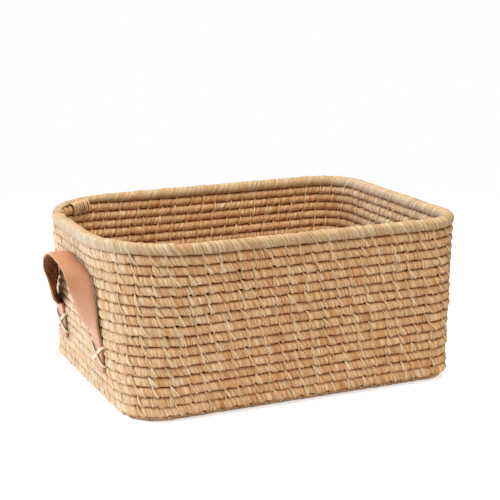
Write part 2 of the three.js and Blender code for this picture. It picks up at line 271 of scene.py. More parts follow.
def fill(collection, name, values, kind):
    collection.foreach_set(name, values.astype(kind).ravel())


class Gathered:
    """Mesh parts, gathered to be made into one object."""

    def __init__(self):
        self.parts, self.count = [], 0

    def add(self, vertices, faces, tints, fibre, bake, material=0):
        """faces hold four corners each. fibre and bake hold one point for each face corner."""
        vertices, faces = vertices.reshape(-1, 3), faces.reshape(-1, 4)
        self.parts.append((vertices, faces + self.count, tints.reshape(-1, 3), fibre.reshape(-1, 2),
                           bake.reshape(-1, 2), np.broadcast_to(material, len(faces))))
        self.count += len(vertices)

    def make(self, name, materials):
        vertices, faces, tints, fibre, bake, slots = map(np.concatenate, zip(*self.parts))
        height = vertices[:, 2]
        share = (height - SQUEEZE_LOW) / (SQUEEZE_HIGH - SQUEEZE_LOW)
        pressed = lerp(GROUND_CLEARANCE, SQUEEZE_HIGH, np.clip(share, 0, 1))
        vertices[:, 2] = np.where(height < SQUEEZE_HIGH, pressed, height)
        mesh = bpy.data.meshes.new(name)
        mesh.vertices.add(len(vertices))
        fill(mesh.vertices, "co", vertices * MM, np.float32)
        mesh.loops.add(faces.size)
        fill(mesh.loops, "vertex_index", faces, np.int32)
        mesh.polygons.add(len(faces))
        fill(mesh.polygons, "loop_start", np.arange(0, faces.size, 4), np.int32)
        fill(mesh.polygons, "use_smooth", np.ones(len(faces)), bool)
        fill(mesh.polygons, "material_index", slots, np.int32)
        mesh.update(calc_edges=True)
        # Each point's strand colour holds its tint, its painted shade and its greenness
        strand = mesh.attributes.new("strand", "FLOAT_COLOR", "POINT")
        fill(strand.data, "color", np.concatenate([tints, np.ones((len(tints), 1))], 1), np.float32)
        for map_name, values in (("Fibre", fibre), ("OFBake", bake)):
            fill(mesh.uv_layers.new(name=map_name).data, "uv", values, np.float32)
        mesh.validate()
        made = bpy.data.objects.new(name, mesh)
        bpy.context.scene.collection.objects.link(made)
        for material in materials:
            made.data.materials.append(material)
        return made


def grid_faces(rows, columns):
    """The faces of a tube of rings of points, and the ring and column of each face's corners."""
    row, column = (grid.ravel() for grid in np.meshgrid(np.arange(rows - 1), np.arange(columns),
                                                        indexing="ij"))
    corner_row = np.stack([row, row + 1, row + 1, row], -1)
    corner_column = np.stack([column, column, column + 1, column + 1], -1)
    return corner_row * columns + corner_column % columns, corner_row, corner_column


def capped(rings):
    """The rings with one more at each end, drawn together to the middle of the end ring."""
    middles = rings[[0, -1]].mean(1, keepdims=True).repeat(rings.shape[1], 1)
    return np.concatenate([middles[:1], rings, middles[1:]])


# Strips: width, shade in runs of neighbours, greenness, lift off the bundle, lean and swell
SPARE_SHARE, SPARE_STRIPS = 1.4, 10
WIDTH_SPREAD, LEAST_WIDTH, MOST_WIDTH_SHARE = 0.45, 1.3, 2.4
RUN_TINT, RUN_TINT_SPREAD, RUN_COUNTS, STRIP_TINT_SPREAD = 0.5, 0.06, (2, 7), 0.2
GREEN_CHANCE, GREEN_RANGE, GREEN_COUNTS = 0.03, (0.1, 0.5), (1, 4)
LIFT_RANGE = (0.05, 0.65)
LEAN, LEAN_WANDER, LEAN_SPACING = 2.2, 1.2, 14.0
SWELL, SWELL_SPREAD, SWELL_LIMITS, SWELL_WANDER, SWELL_SPACING = 1.04, 0.045, (-1.6, 2), 0.02, 9.0


def wind_strips(rng, length, width):
    """Strips wound round the bundle, from the start of the coil to its end."""
    count = int(length / width * SPARE_SHARE) + SPARE_STRIPS
    widths = width * np.exp(rng.normal(0.0, WIDTH_SPREAD, count))
    widths = np.clip(widths, LEAST_WIDTH, MOST_WIDTH_SHARE * width)
    ends = np.cumsum(widths)
    count = int(np.searchsorted(ends, length)) + 1
    widths = widths[:count] * (length / ends[count - 1])
    starts = np.r_[0.0, np.cumsum(widths)[:-1]]
    runs = np.repeat(rng.normal(RUN_TINT, RUN_TINT_SPREAD, count),
                     rng.integers(*RUN_COUNTS, count))[:count]
    tint = np.clip(runs + rng.normal(0.0, STRIP_TINT_SPREAD, count), 0.0, 1.0)
    green = np.repeat((rng.random(count) < GREEN_CHANCE) * rng.uniform(*GREEN_RANGE, count),
                      rng.integers(*GREEN_COUNTS, count))[:count]
    return {
        "start": starts, "width": widths, "tint": tint, "green": green,
        "lift": rng.uniform(*LIFT_RANGE, count),
        "lean": LEAN + LEAN_WANDER * wander(rng, starts, LEAN_SPACING),
        "swell": SWELL + SWELL_SPREAD * rng.normal(0.0, 1.0, count).clip(*SWELL_LIMITS)
        + SWELL_WANDER * wander(rng, starts, SWELL_SPACING),
    }


# The four rings of points of a strip: share of its width, of its lift, and the painted crease shade
# beside it
LINE_SHARES = np.array([0.05, 0.3, 0.65, 0.94])
LINE_LIFTS = np.array([0.7, 1.0, 0.75, 0.0])
LINE_CREASE_SHADES = np.array([0.3, 0.0, 0.0, 1.0])


def coil_lines(strips, first, last):
    """Place, lift, painted crease shade, tint, green, lean and swell of each ring of points in a run of
    strips.
    """
    run = slice(first, last)
    start, width = strips["start"][run, None], strips["width"][run, None]
    lines = {
        "place": start + width * LINE_SHARES,
        "lift": strips["lift"][run, None] * LINE_LIFTS,
        "crease": np.broadcast_to(LINE_CREASE_SHADES, (last - first, len(LINE_SHARES))),
    }
    for name in ("tint", "green", "lean", "swell"):
        lines[name] = np.repeat(strips[name][run, None], len(LINE_SHARES), 1)
    return {name: values.ravel() for name, values in lines.items()}


# The coil's section: its roundness outside and inside, and where the painted shade of its grooves
# starts
OUTER_POWER, INNER_POWER = 0.86, 0.98
UPPER_GROOVE, LOWER_GROOVE, GROOVE_RUN = 0.62, 0.5, 0.42


def section(sides):
    """Points round the coil: share outwards, share across, and how much painted groove shade each gets
    for how deep it lies in a groove.
    """
    angle = np.arange(sides) * 2 * math.pi / sides
    c, s = np.cos(angle), np.sin(angle)
    power = lerp(INNER_POWER, OUTER_POWER, (1 + c) / 2)
    out = np.sign(c) * np.abs(c) ** power
    up = np.sign(s) * np.abs(s) ** power
    start = lerp(UPPER_GROOVE, LOWER_GROOVE, up < 0)
    return out, up, np.clip((np.abs(up) - start) / GROOVE_RUN, 0.0, 1.0)


# The left wall's outside, which faces the key and side lamps, is fuller, carries less painted shade in
# its grooves, creases and strand edges, and has its tints drawn to one tone against the strong light:
# from which outward share, and how much less its painted grooves, creases and tints show
EVEN_FROM, EVEN_RUN = 0.7, 0.25
LIT_WALL_GROOVE_SHADE_CUT, LIT_WALL_CREASE_SHADE_CUT, EVEN_FULLNESS, EVEN_POWER = 0.72, 0.6, 0.5, 3
LIT_WALL_TINT_SHARE, LIT_WALL_STRIP_TINT, LIT_WALL_STITCH_TINT = 0.85, 0.45, 0.6


def evenness(outward):
    """0 to 1 on the outside of the left wall."""
    return smoothstep((-outward[..., 0] - EVEN_FROM) / EVEN_RUN)


# Painted shade of grooves and of the creases between strips, and how deep the holes beside stitches are
# pushed in
GROOVE_SHADE_PAINT, CREASE_SHADE_PAINT, PIT_DEPTH = 0.88, 0.4, 0.6
# Under a stitch the coil is thinner outwards and narrower across, and between stitches wider
PINCH_THINNING, PINCH_BULGE, PINCH_NARROWING = 0.05, 1.05, 0.09
# Fibre lengths round the bundle and past its ends
BUNDLE_GIRTH, CAP_FIBRE = 2 * math.pi * 4.9, 4.0
# The bake's square: its margins, and the share of its height that each kind of part gets
BAKE_STRIPS, BAKE_END_MARGIN, BAKE_SIDE_MARGIN = 5, 0.002, 0.01
COIL_CELL, TAIL_CELL = (0, 0.66), (0.665, 0.7)
OUTER_STITCH_CELL, INNER_STITCH_CELL = (0.71, 0.89), (0.9, 0.995)


def add_coil(gathered, path, lines, sides, stitches=None, cell=COIL_CELL):
    """A stretch of the wound coil, closed at both ends. stitches holds their pits and pinch."""
    place = np.clip(lines["place"], 0.0, path["place"][-1])
    out, up, painted_shade = section(sides)
    open_top = at_place(path, "open_top", place)[:, None] * (up > 0)
    shift = -lines["lean"][:, None] * up
    centre, along, across, normal = frames(path, place)
    even = evenness(normal)[:, None] * (out > 0)
    # Painted shade in the grooves: none on the rim's open top, and less on the left wall's outside,
    # which faces the key and side lamps
    painted_shade = GROOVE_SHADE_PAINT * painted_shade * (1 - open_top) * (1 - LIT_WALL_GROOVE_SHADE_CUT * even)
    half_across = at_place(path, "half_across", place) * lines["swell"]
    half_normal = at_place(path, "half_normal", place)
    grow = 1 + lines["lift"][:, None] / ROW_THICKNESS * 2
    x = half_normal[:, None] * out * grow * (1 + EVEN_FULLNESS * even * np.abs(up) ** EVEN_POWER)
    z = half_across[:, None] * up * (1 + (grow - 1) * (1 - np.abs(up)))
    # Painted shade: the deeper of the groove shade and the shade painted in the creases between strips
    dark = np.maximum(painted_shade, lines["crease"][:, None] * CREASE_SHADE_PAINT * (1 - LIT_WALL_CREASE_SHADE_CUT * even))
    if stitches:
        pits, pinch = stitches
        held = pinch(place[:, None] + shift, half_across[:, None], up)
        pit = pits(place, up)
        x = x * (1 - PINCH_THINNING * held) * (1 - PIT_DEPTH * pit)
        z = z * (PINCH_BULGE - PINCH_NARROWING * held)
        # Holes beside stitch tips are pushed in and also painted dark as shade
        dark = np.maximum(dark, pit)
    points = centre[:, None] + normal[:, None] * x[..., None] + across[:, None] * z[..., None]
    points += along[:, None] * shift[..., None]
    # On the left wall's outside, which faces the key and side lamps, strip tints are drawn to one
    # middle tone against its strong light
    tint = lerp(lines["tint"][:, None], LIT_WALL_STRIP_TINT, LIT_WALL_TINT_SHARE * even)
    tints = np.stack([tint, dark, np.broadcast_to(lines["green"][:, None], dark.shape)], -1)
    tints = np.concatenate([tints[:1], tints, tints[-1:]])
    faces, row, column = grid_faces(len(place) + 2, sides)
    ring_place = np.r_[place[0] - CAP_FIBRE, place, place[-1] + CAP_FIBRE]
    fibre = np.stack([ring_place[row], column / sides * BUNDLE_GIRTH], -1)
    per_strip = math.ceil((len(place) + 1) / BAKE_STRIPS)
    strip = row[:, :1] // per_strip
    u = inset((row - strip * per_strip) / per_strip, BAKE_END_MARGIN)
    v = (strip + inset(column / sides, BAKE_SIDE_MARGIN)) / BAKE_STRIPS
    gathered.add(capped(points), faces, tints, fibre, np.stack([u, lerp(*cell, v)], -1))


# Round a ribbon's section: share of its width, of its thickness, and painted shade of its edges and
# underside
RIBBON_WIDE = np.array([-0.5, -0.27, 0.27, 0.5, 0.27, -0.27])
RIBBON_HIGH = np.array([0.0, 1.0, 1.0, 0.0, -0.7, -0.7])
RIBBON_EDGE_SHADE = np.array([0.35, 0.0, 0.0, 0.35, 0.7, 0.7])
RIBBON_SIDES = len(RIBBON_WIDE)
RIBBON_SIDE_FIBRE, RIBBON_CAP_FIBRE, RIBBON_FIBRE_STEP = 0.9, 0.3, 7.3
RIBBON_SIDE_MARGIN, RIBBON_END_MARGIN = 0.06, 0.04


def add_ribbons(gathered, centre, side, normal, width, thickness, tint, green=0, edge=0, cell=(0, 1)):
    """Closed flat strands. centre is (strands, stations, 3), and edge scales the painted shade on their
    edges and undersides.
    """
    strands, stations = centre.shape[:2]
    points = centre[:, :, None] + side[..., None, :] * (width[..., None] * RIBBON_WIDE)[..., None]
    points = points + normal[..., None, :] * (thickness * RIBBON_HIGH)[:, None]
    ends = centre[:, [0, -1]][:, :, None].repeat(RIBBON_SIDES, 2)
    points = np.concatenate([ends[:, :1], points, ends[:, 1:]], 1)
    rows = stations + 2
    faces, row, column = grid_faces(rows, RIBBON_SIDES)
    strand = np.arange(strands)[:, None, None]
    length = np.r_[0.0, np.cumsum(np.linalg.norm(np.diff(centre, axis=1), axis=2).mean(0))]
    length = np.r_[length[0] - RIBBON_CAP_FIBRE, length, length[-1] + RIBBON_CAP_FIBRE]
    fibre_x = column * RIBBON_SIDE_FIBRE + strand * RIBBON_FIBRE_STEP
    fibre = np.stack([fibre_x, np.broadcast_to(length[row], fibre_x.shape)], -1)
    columns = math.ceil(math.sqrt(strands))
    u = (strand % columns + inset(column / RIBBON_SIDES, RIBBON_SIDE_MARGIN)) / columns
    v = (strand // columns + inset(row / (rows - 1), RIBBON_END_MARGIN)) / columns
    tints = np.empty((strands, rows, RIBBON_SIDES, 3))
    # The second channel holds the painted shade of the edges and undersides
    for channel, values, share in ((0, tint, 1), (1, edge, RIBBON_EDGE_SHADE), (2, green, 1)):
        tints[..., channel] = np.broadcast_to(values, strands)[:, None, None] * share
    gathered.add(points, faces + strand * rows * RIBBON_SIDES, tints, fibre,
                 np.stack([u, lerp(*cell, v)], -1))


# Stitches. A fan has one to three strands, with other chances outside and inside
STATION_COUNT = 9
FAN_SIZES, OUTER_FANS, INNER_FANS = [1, 2, 3], [0.1, 0.4, 0.5], [0.6, 0.4, 0.0]
FAN_SPREAD, FAN_STRAY, FAN_POWER, FAN_BOW = 2.3, 0.35, 0.8, 0.5
LEAN_SPREAD, INNER_LEAN_SHARE = 0.24, 0.35
TIP_RANGE, FOOT_BELOW, STITCH_SINK, ROW_ROUNDNESS = (-0.3, 0.4), 0.1, 1.15, 2.6
# Lift off the row at shares of the way from tip to foot, and how much flatter a stitch may lie
LIFT_STATIONS, LIFTS = [0.0, 0.1, 0.24, 0.7, 0.9, 1.0], [-1.5, 0.0, 0.5, 0.35, 0.0, -1.3]
INNER_FLATNESS, EVEN_FLATNESS, LIFT_STRAY, STRAND_LIFT = 0.2, 0.32, (-0.12, 0.2), 0.06
TIP_WIDTH, FOOT_WIDTHS, INNER_WIDTH_SHARE, STITCH_THICKNESS = 1.0, (1.8, 3.4), 1.35, 0.34
OUTER_TINT, INNER_TINT, TINT_SPREAD, MOST_TINT = 0.85, 0.55, 0.2, 1.1
# How often stitches are green and how green, and how much less painted edge shade the left wall's
# stitches get
GREEN_ODDS, GREEN_STITCH, LIT_WALL_EDGE_SHADE_CUT = 0.03, 0.6, 0.6


def surface_of_row(offset, half_across, half_normal):
    share = np.clip(np.abs(offset) / half_across, 0.0, 1.0)
    return half_normal * (1 - share**ROW_ROUNDNESS) ** (1 / ROW_ROUNDNESS)


def stitch_strands(rng, path, place, face):
    """Fans of strands. Each starts as a point at a hole in the next loop and crosses this one."""
    outside = face > 0
    fans = rng.choice(FAN_SIZES, len(place), p=OUTER_FANS if outside else INNER_FANS)
    fan = np.repeat(np.arange(len(place)), fans)
    number = np.concatenate([np.arange(size) for size in fans])
    aside = (number - (fans[fan] - 1) / 2) * FAN_SPREAD + rng.normal(0.0, FAN_STRAY, len(fan))
    lean = STITCH_LEAN * (1 + rng.normal(0.0, LEAN_SPREAD, len(place)))[fan]
    lean = (lean * (1 if outside else INNER_LEAN_SHARE))[:, None]
    t = np.linspace(0.0, 1.0, STATION_COUNT)
    half = at_place(path, "half_across", place)[fan, None]
    thick = at_place(path, "half_normal", place)[fan, None]
    top = half + STITCH_TIP_ABOVE + rng.uniform(*TIP_RANGE, len(place))[fan, None]
    offset = lerp(top, -(half + FOOT_BELOW), t)
    run = place[fan, None] + lean * (top - offset) + aside[:, None] * t**FAN_POWER
    run = run + (rng.normal(0.0, FAN_BOW, len(fan))[:, None] * t * (1 - t))
    centre, _, across, normal = frames(path, np.clip(run, 0.0, path["place"][-1]))
    here = surface_of_row(offset, half, thick)
    above = surface_of_row(offset - 2 * half, half, thick)
    depth = np.maximum(np.maximum(here, above), thick - STITCH_SINK)
    outward = face * normal
    even = evenness(outward[:, STATION_COUNT // 2])
    flat = EVEN_FLATNESS * even[:, None] if outside else INNER_FLATNESS
    lift = rng.uniform(*LIFT_STRAY, len(fan)) + number * STRAND_LIFT
    lift = np.interp(t, LIFT_STATIONS, LIFTS) - flat + lift[:, None]
    centre = centre + across * offset[..., None] + outward * (depth + lift)[..., None]
    side = unit(np.cross(outward, unit(np.gradient(centre, axis=1))))
    full = rng.uniform(*FOOT_WIDTHS, len(fan)) * (1.0 if outside else INNER_WIDTH_SHARE)
    width = lerp(TIP_WIDTH, full[:, None], t**FAN_POWER)
    tint = (OUTER_TINT if outside else INNER_TINT) + rng.normal(0.0, TINT_SPREAD, len(fan))
    # On the left wall, stitch tints are drawn to one lower tone against the strong light of the key and
    # side lamps
    tint = lerp(np.clip(tint, 0.0, MOST_TINT), LIT_WALL_STITCH_TINT, LIT_WALL_TINT_SHARE * even)
    green = (rng.random(len(fan)) < GREEN_ODDS) * GREEN_STITCH
    # The last value scales the painted shade on the strands' edges and undersides, less on the left
    # wall's outside
    return centre, side, outward, width, STITCH_THICKNESS, tint, green, 1 - LIT_WALL_EDGE_SHADE_CUT * even


# Materials
def linear(colour):
    """A colour written as sRGB from 0 to 255, as Blender's sockets take it."""
    shares = [c / 255 for c in colour]
    return (*[c / 12.92 if c <= 0.04045 else ((c + 0.055) / 1.055) ** 2.4 for c in shares], 1.0)


class Nodes:
    """A few shorthands for building the node tree of a material or the world."""

    def __init__(self, owner, shader="Principled BSDF"):
        owner.use_nodes = True
        self.owner, self.tree = owner, owner.node_tree
        self.shader = self.tree.nodes[shader]

    def node(self, kind, inputs=None, **settings):
        made = self.tree.nodes.new(kind)
        for key, value in settings.items():
            setattr(made, key, value)
        for key, value in (inputs or {}).items():
            self.put(made.inputs[key], value)
        return made

    def put(self, socket, value):
        if isinstance(value, bpy.types.NodeSocket):
            self.tree.links.new(value, socket)
        else:
            socket.default_value = value

    def math(self, operation, a, b=0.0, clamp=False):
        made = self.node("ShaderNodeMath", operation=operation, use_clamp=clamp)
        self.put(made.inputs[0], a)
        self.put(made.inputs[1], b)
        return made.outputs[0]

    def mix(self, share, a, b, blend="MIX"):
        made = self.node("ShaderNodeMix", data_type="RGBA", blend_type=blend)
        self.put(made.inputs["Factor"], share)
        self.put(made.inputs["A"], a)
        self.put(made.inputs["B"], b)
        return made.outputs["Result"]

    def noise(self, vector, scale=1.0, detail=2.0, rough=0.55):
        inputs = {"Vector": vector, "Scale": scale, "Detail": detail, "Roughness": rough}
        return self.node("ShaderNodeTexNoise", inputs).outputs["Fac"]

    def stretched(self, vector, scale):
        inputs = {"Vector": vector, "Scale": scale}
        return self.node("ShaderNodeMapping", inputs).outputs["Vector"]

    def spread(self, value, low, high, new_low=0.0, new_high=1.0):
        inputs = {"Value": value, "From Min": low, "From Max": high,
                  "To Min": new_low, "To Max": new_high}
        return self.node("ShaderNodeMapRange", inputs).outputs["Result"]

    def bump(self, height, strength, distance):
        inputs = {"Height": height, "Strength": strength, "Distance": distance}
        return self.node("ShaderNodeBump", inputs).outputs["Normal"]


# Raffia: noise scales in the fibre's own axes, and what each adds to the shade
FINE_SCALE, BROAD_SCALE, WAVER_SCALE = (2.6, 0.1, 1.0), (0.8, 0.06, 1.0), (0.22, 0.2, 1.0)
PATCH_SCALE, WAVER_REACH = 14.0, 3.0
TINT_SHARE, BROAD_SHARE, PATCH_SHARE, SPLIT_SHARE = 0.6, 0.45, 0.3, 0.6
SHADE_RANGE, PALE_RANGE, NOISE_RANGE, STREAK_RANGE = (0.55, 1.5), (0.7, 0.95), (0.3, 0.7), (0.76, 1.16)
GREEN_RAFFIA, GREEN_SHARE, PALE_RAFFIA, PALE_SHARE = (160, 144, 104), 0.75, (206, 190, 164), 0.45
# How far and how strongly painted shade darkens the splits between fibres, the bump's run there, and
# over which painted shade share the warm and deep painted shade come in
SPLIT_EDGE, SPLIT_SHADE_SHARE, SPLIT_HEIGHT_RUN = 0.12, 0.5, 0.2
WARM_SHADE_GROOVE, WARM_SHADE_SHARE, SHADE_GROOVE, SHADE_SHARE = (0.0, 0.75), 0.85, (0.5, 0.9), 0.95
ROUGH, SMOOTH, GROOVE_ROUGHNESS, RAFFIA_SPECULAR = 0.74, 0.58, 0.3, 0.12
BROAD_HEIGHT, RAFFIA_BUMP, RAFFIA_BUMP_DEPTH = 0.6, 0.6, 0.0004


def raffia_material(name, dark, middle, light, warm_shade, deep_shade, split=1.5):
    """split is the mean width of the fibres that a strip shows, along the coil."""
    n = Nodes(bpy.data.materials.new(name))
    strand = n.node("ShaderNodeAttribute", attribute_name="strand")
    parts = n.node("ShaderNodeSeparateColor", {"Color": strand.outputs["Color"]})
    tint, painted_shade, green = (parts.outputs[k] for k in ("Red", "Green", "Blue"))
    fibre = n.node("ShaderNodeUVMap", uv_map="Fibre").outputs["UV"]
    fine = n.noise(n.stretched(fibre, FINE_SCALE), detail=3.0, rough=0.6)
    broad = n.noise(n.stretched(fibre, BROAD_SCALE))
    patches = n.noise(n.node("ShaderNodeTexCoord").outputs["Object"], PATCH_SCALE)
    along = n.node("ShaderNodeSeparateXYZ", {"Vector": fibre}).outputs["X"]
    waver = n.noise(n.stretched(fibre, WAVER_SCALE))
    at = n.math("ADD", n.math("DIVIDE", along, split), n.math("MULTIPLY", waver, WAVER_REACH))
    cells = n.node("ShaderNodeTexVoronoi", {"W": at, "Scale": 1.0}, voronoi_dimensions="1D")
    edge = n.node("ShaderNodeTexVoronoi", {"W": at, "Scale": 1.0}, voronoi_dimensions="1D",
                  feature="DISTANCE_TO_EDGE").outputs["Distance"]
    cell_parts = n.node("ShaderNodeSeparateColor", {"Color": cells.outputs["Color"]}).outputs
    mixed = n.math("MULTIPLY", tint, TINT_SHARE)
    for part, share in ((broad, BROAD_SHARE), (patches, PATCH_SHARE), (cell_parts["Red"], SPLIT_SHARE)):
        mixed = n.math("ADD", mixed, n.math("MULTIPLY", part, share))
    mixed = n.spread(mixed, *SHADE_RANGE)
    colour = n.mix(n.spread(mixed, 0.0, 0.5), linear(dark), linear(middle))
    colour = n.mix(n.spread(mixed, 0.5, 1.0), colour, linear(light))
    colour = n.mix(n.math("MULTIPLY", green, GREEN_SHARE), colour, linear(GREEN_RAFFIA))
    pale = n.spread(cell_parts["Green"], *PALE_RANGE, 0.0, PALE_SHARE)
    colour = n.mix(pale, colour, linear(PALE_RAFFIA))
    streak = n.spread(fine, *NOISE_RANGE, *STREAK_RANGE)
    grey = n.node("ShaderNodeCombineColor", {"Red": streak, "Green": streak, "Blue": streak})
    colour = n.mix(1.0, colour, grey.outputs["Color"], "MULTIPLY")
    # Painted shade: warm in the splits between fibres, then warm and deep in the grooves, creases,
    # holes and strand edges
    colour = n.mix(n.spread(edge, 0.0, SPLIT_EDGE, SPLIT_SHADE_SHARE, 0.0), colour, linear(warm_shade))
    colour = n.mix(n.spread(painted_shade, *WARM_SHADE_GROOVE, 0.0, WARM_SHADE_SHARE), colour, linear(warm_shade))
    colour = n.mix(n.spread(painted_shade, *SHADE_GROOVE, 0.0, SHADE_SHARE), colour, linear(deep_shade))
    n.put(n.shader.inputs["Base Color"], colour)
    matt = n.math("MULTIPLY", painted_shade, GROOVE_ROUGHNESS)
    rough = n.math("ADD", n.spread(fine, *NOISE_RANGE, ROUGH, SMOOTH), matt, True)
    n.put(n.shader.inputs["Roughness"], rough)
    n.shader.inputs["Specular IOR Level"].default_value = RAFFIA_SPECULAR
    height = n.math("ADD", fine, n.math("MULTIPLY", broad, BROAD_HEIGHT))
    height = n.math("ADD", height, n.spread(edge, 0.0, SPLIT_HEIGHT_RUN))
    n.put(n.shader.inputs["Normal"], n.bump(height, RAFFIA_BUMP, RAFFIA_BUMP_DEPTH))
    return n.owner


# Colours of each raffia: dark, middle and light strips, and the warm and the deep painted shade of its
# grooves, creases, holes and strand edges
RAFFIA = raffia_material("raffia", (184, 136, 88), (212, 174, 130), (228, 206, 174), (154, 86, 36),
                         (74, 22, 0))
RIM_RAFFIA = raffia_material("rim_raffia", (182, 146, 106), (192, 166, 132), (204, 190, 162),
                             (150, 94, 52), (80, 34, 10), split=1.8)

# Coil pieces
rng = np.random.default_rng(SEED)
coil = coil_path(rng)


def place_of(turn):
    return np.interp(turn, coil["turn"], coil["place"])


wall_start, rim_start = place_of(BASE_END), place_of(RIM_START)
strips = wind_strips(rng, rim_start, STRIP_WIDTH)

loop_places = place_of(np.arange(BASE_LOOPS + WALL_ROWS + 1) * LOOP_STEPS)
row_length = (rim_start - wall_start) / WALL_ROWS
per_loop = STITCHES_A_LOOP / (1 - STITCH_SHIFT / row_length)
wall_loops = BASE_LOOPS + np.arange(int(WALL_ROWS * per_loop)) / per_loop
wall_places = np.interp(wall_loops, np.arange(len(loop_places)), loop_places)
base_places = np.arange(FIRST_STITCH, wall_start, row_length / STITCHES_A_LOOP)
stitch_places = np.concatenate([base_places, wall_places])
stitch_places += rng.normal(0.0, STITCH_STRAY, len(stitch_places))

# A hole beside a stitch's tip, pushed in and painted with shade: how far back, how long, how full, and
# at which share across
PIT_BACK, PIT_LENGTH, PIT_FULLNESS = 0.7, 1.6, 1.6
PIT_LEVEL, PIT_LEVEL_RUN, PIT_LEVEL_FULLNESS = -0.8, 0.22, 1.3
PINCH_LENGTH = 2.6


def nearest_mark(places, marks, back=0.0):
    """Distance from each place to the nearest mark, with the marks moved back."""
    index = np.clip(np.searchsorted(marks, places), 1, len(marks) - 1)
    return np.minimum(np.abs(places - marks[index] + back), np.abs(places - marks[index - 1] + back))


def pits_beside(stitches):
    """How deep each point of a ring is in a hole beside the tip of a stitch of the loop before."""
    holes = np.sort(place_of(np.interp(stitches, coil["place"], coil["turn"]) + LOOP_STEPS))

    def depth(place, up):
        nearest = nearest_mark(place, holes, PIT_BACK)
        near = np.clip(PIT_FULLNESS - nearest / PIT_LENGTH, 0.0, 1.0)
        low = np.clip(PIT_LEVEL_FULLNESS - np.abs(up - PIT_LEVEL) / PIT_LEVEL_RUN, 0.0, 1.0)
        return near[:, None] * low
    return depth


def pinch_under(stitches):
    """How tightly each point of a ring is held by a stitch that crosses it."""
    tips = np.sort(stitches)

    def held(place, half, up):
        crossing = place - STITCH_LEAN * (half * (1 - up) + STITCH_TIP_ABOVE)
        return np.exp(-(nearest_mark(crossing, tips) / PINCH_LENGTH) ** 2)
    return held


# The coil's thin start: from which step of the corner, how much wider than its gap, and how thick
TAIL_FIRST_STEP, TAIL_STATIONS, TAIL_OVERLAP, TAIL_THICKNESS = 0.4, 40, 0.9, (0.6, 0.96)


def start_tail():
    """The coil's thin start, curled into the gap that the first loop leaves as it moves out."""
    step = np.linspace(LOOP_STEPS - CORNER_STEPS + TAIL_FIRST_STEP, LOOP_STEPS, TAIL_STATIONS)
    out = climb_share(step)
    angle = math.pi / 2 * (1 + (step - LOOP_STEPS + CORNER_STEPS) / CORNER_STEPS)
    across = heading(angle)
    radius = out * BASE_PITCH / 2
    centre = np.array([HEEL[1] - HEEL[0], 0.0, GROUND_Z]) + across * radius[:, None]
    along = np.cross([0.0, 0.0, 1.0], across)
    return {
        "place": lengths(centre), "centre": centre, "along": along, "across": across,
        "normal": np.cross(along, across), "half_across": radius + TAIL_OVERLAP,
        "half_normal": lerp(*TAIL_THICKNESS, out) * (ROW_PITCH - ROW_GAP) / 2, "open_top": 0 * out,
    }


# The base's strips are full enough to leave no gap to see through
LOW_SWELL, LOW_SWELL_MORE = 1.03, 0.04
low_strips = strips["start"] < wall_start + row_length
strips["swell"][low_strips] = np.maximum(strips["swell"][low_strips], LOW_SWELL) + LOW_SWELL_MORE
stitch_marks = pits_beside(stitch_places), pinch_under(stitch_places)
INNER_LOOPS, MIDDLE_LOOPS = 7, 11
groups = [(0, INNER_LOOPS, "base_loops_inner"), (INNER_LOOPS, MIDDLE_LOOPS, "base_loops_middle"),
          (MIDDLE_LOOPS, BASE_LOOPS, "base_loops_outer")]
groups += [(BASE_LOOPS + k, BASE_LOOPS + k + 1, f"wall_row_{k + 1:02d}") for k in range(WALL_ROWS)]
for first_loop, last_loop, name in groups:
    low, high = place_of(first_loop * LOOP_STEPS), place_of(last_loop * LOOP_STEPS)
    first, last = np.searchsorted(strips["start"], (low, high))
    gathered = Gathered()
    sides = BASE_SIDES if first_loop < BASE_LOOPS else WALL_SIDES
    add_coil(gathered, coil, coil_lines(strips, first, last), sides, stitch_marks)
    if first_loop == 0:
        tail = start_tail()
        tail_strips = wind_strips(np.random.default_rng(TAIL_SEED), tail["place"][-1], STRIP_WIDTH)
        add_coil(gathered, tail, coil_lines(tail_strips, 0, len(tail_strips["start"])), sides,
                 cell=TAIL_CELL)
    mine = stitch_places[(stitch_places >= low) & (stitch_places < high)]
    for face, cell in ((1, OUTER_STITCH_CELL), (-1, INNER_STITCH_CELL)):
        add_ribbons(gathered, *stitch_strands(rng, coil, mine, face), cell=cell)
    made = gathered.make(name, [RAFFIA])
    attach(made, "basket")
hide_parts("base_coil")
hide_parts("wall_coil")

# Rim: its ends, the rise of its top at the end, and how much thinner and narrower its ends are
RIM_FIRST_STEP, RIM_LAST_STEP, RIM_START_STEPS = -1.5, LOOP_STEPS - 0.3, 1.5
RIM_TOP_RISE, RIM_RISE_SPEED, LEAST_RIM_HALF = 1.2, 1.3, 0.6
RIM_START_HEIGHT, RIM_START_THICKNESS, RIM_END_THINNING = 0.8, 0.75, 0.4
RIM_UNEVENNESS, RIM_SPACING = 0.05, 30.0
RIM_LEAN, RIM_TINT, RIM_TINT_SHARE = 1.6, 0.55, 0.55


